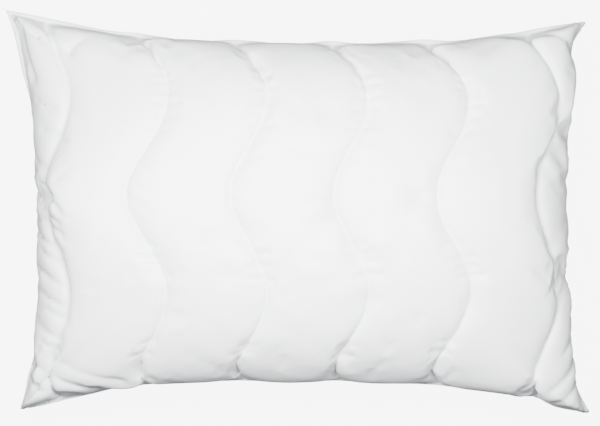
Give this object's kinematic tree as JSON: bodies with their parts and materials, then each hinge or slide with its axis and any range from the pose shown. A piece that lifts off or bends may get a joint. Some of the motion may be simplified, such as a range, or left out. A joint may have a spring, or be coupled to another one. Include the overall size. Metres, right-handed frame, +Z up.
{
  "type": "bed pillow",
  "caption": "Rectangular bed pillow with two quilted panels, wavy stitch lines, a flat stitched edge and a fibre fill.",
  "frame": {"origin": "on the table, under the middle of the pillow's bounding box", "axes": "+X along the long side, +Y along the short side towards the back edge, +Z up through the thickness, out of the front panel"},
  "size_m": [0.666, 0.465, 0.165],
  "materials": {
    "cover": "satin",
    "wadding": "matte",
    "lining": "matte",
    "fibre_fill": "matte",
    "thread": "satin",
    "label": "satin"
  },
  "bodies": {
    "root": {"front_cover": "cover", "back_cover": "cover", "front_wadding": "wadding", "back_wadding": "wadding", "front_lining": "lining", "back_lining": "lining", "fibre_fill": "fibre_fill", "front_quilt_thread_1": "thread", "front_quilt_thread_2": "thread", "front_quilt_thread_3": "thread", "front_quilt_thread_4": "thread", "front_quilt_thread_5": "thread", "front_quilt_thread_6": "thread", "back_quilt_thread_1": "thread", "back_quilt_thread_2": "thread", "back_quilt_thread_3": "thread", "back_quilt_thread_4": "thread", "back_quilt_thread_5": "thread", "back_quilt_thread_6": "thread", "front_edge_thread": "thread", "back_edge_thread": "thread", "closing_thread": "thread", "care_label": "label"}
  },
  "joints": []
}
